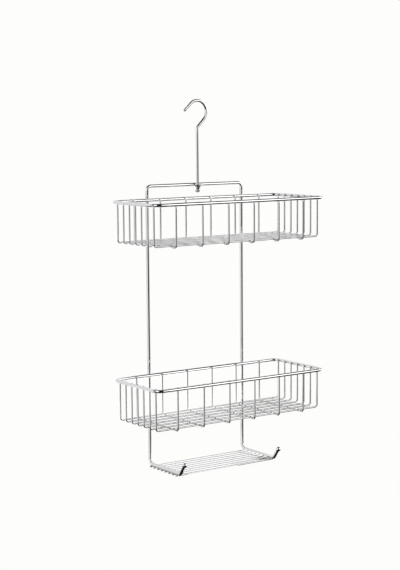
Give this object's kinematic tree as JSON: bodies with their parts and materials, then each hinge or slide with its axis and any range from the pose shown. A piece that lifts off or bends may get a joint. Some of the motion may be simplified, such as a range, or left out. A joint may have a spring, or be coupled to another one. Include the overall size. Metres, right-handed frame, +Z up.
{
  "type": "shower caddy",
  "caption": "Chrome wire shower caddy: deep wire baskets and a slatted soap shelf with side hooks on a bent wire frame that swivels on an over-the-arm hanging hook.",
  "frame": {"origin": "the saddle of the hook: the point on its inner face, straight above the rod, that rests on top of the shower arm", "axes": "+X to the right along the wall as seen from the room, +Y into the wall, so the baskets stand out towards -Y, and +Z up along the rod"},
  "size_m": [0.3758, 0.1553, 0.6763],
  "materials": {
    "heavy_wire_chrome": "polished",
    "thin_wire_chrome": "polished",
    "rod_chrome": "polished",
    "ball_chrome": "polished"
  },
  "bodies": {
    "hook": {"hanging_hook": "rod_chrome", "hook_ball_nut": "ball_chrome"},
    "caddy": {"back_frame": "heavy_wire_chrome", "swivel_eye": "thin_wire_chrome", "shelf_hook_tip_left": "ball_chrome", "shelf_hook_tip_right": "ball_chrome", "soap_shelf_wire_1": "thin_wire_chrome", "soap_shelf_wire_2": "thin_wire_chrome", "soap_shelf_wire_3": "thin_wire_chrome", "soap_shelf_wire_4": "thin_wire_chrome", "soap_shelf_wire_5": "thin_wire_chrome", "soap_shelf_wire_6": "thin_wire_chrome", "soap_shelf_wire_7": "thin_wire_chrome", "soap_shelf_wire_8": "thin_wire_chrome", "upper_basket_rim": "heavy_wire_chrome", "upper_cross_wire_1": "thin_wire_chrome", "upper_cross_wire_2": "thin_wire_chrome", "upper_cross_wire_3": "thin_wire_chrome", "upper_cross_wire_4": "thin_wire_chrome", "upper_cross_wire_5": "thin_wire_chrome", "upper_cross_wire_6": "thin_wire_chrome", "upper_long_wire_1": "thin_wire_chrome", "upper_long_wire_2": "thin_wire_chrome", "upper_long_wire_3": "thin_wire_chrome", "upper_long_wire_4": "thin_wire_chrome", "upper_long_wire_5": "thin_wire_chrome", "upper_long_wire_6": "thin_wire_chrome", "upper_long_wire_7": "thin_wire_chrome", "lower_basket_rim": "heavy_wire_chrome", "lower_cross_wire_1": "thin_wire_chrome", "lower_cross_wire_2": "thin_wire_chrome", "lower_cross_wire_3": "thin_wire_chrome", "lower_cross_wire_4": "thin_wire_chrome", "lower_cross_wire_5": "thin_wire_chrome", "lower_cross_wire_6": "thin_wire_chrome", "lower_long_wire_1": "thin_wire_chrome", "lower_long_wire_2": "thin_wire_chrome", "lower_long_wire_3": "thin_wire_chrome", "lower_long_wire_4": "thin_wire_chrome", "lower_long_wire_5": "thin_wire_chrome", "lower_long_wire_6": "thin_wire_chrome", "lower_long_wire_7": "thin_wire_chrome"}
  },
  "joints": [
    {"name": "hook_swivel", "type": "hinge", "parent": "hook", "child": "caddy", "pos_m": [0, 0, -0.1551], "axis": [0, 0, 1], "continuous": true}
  ]
}
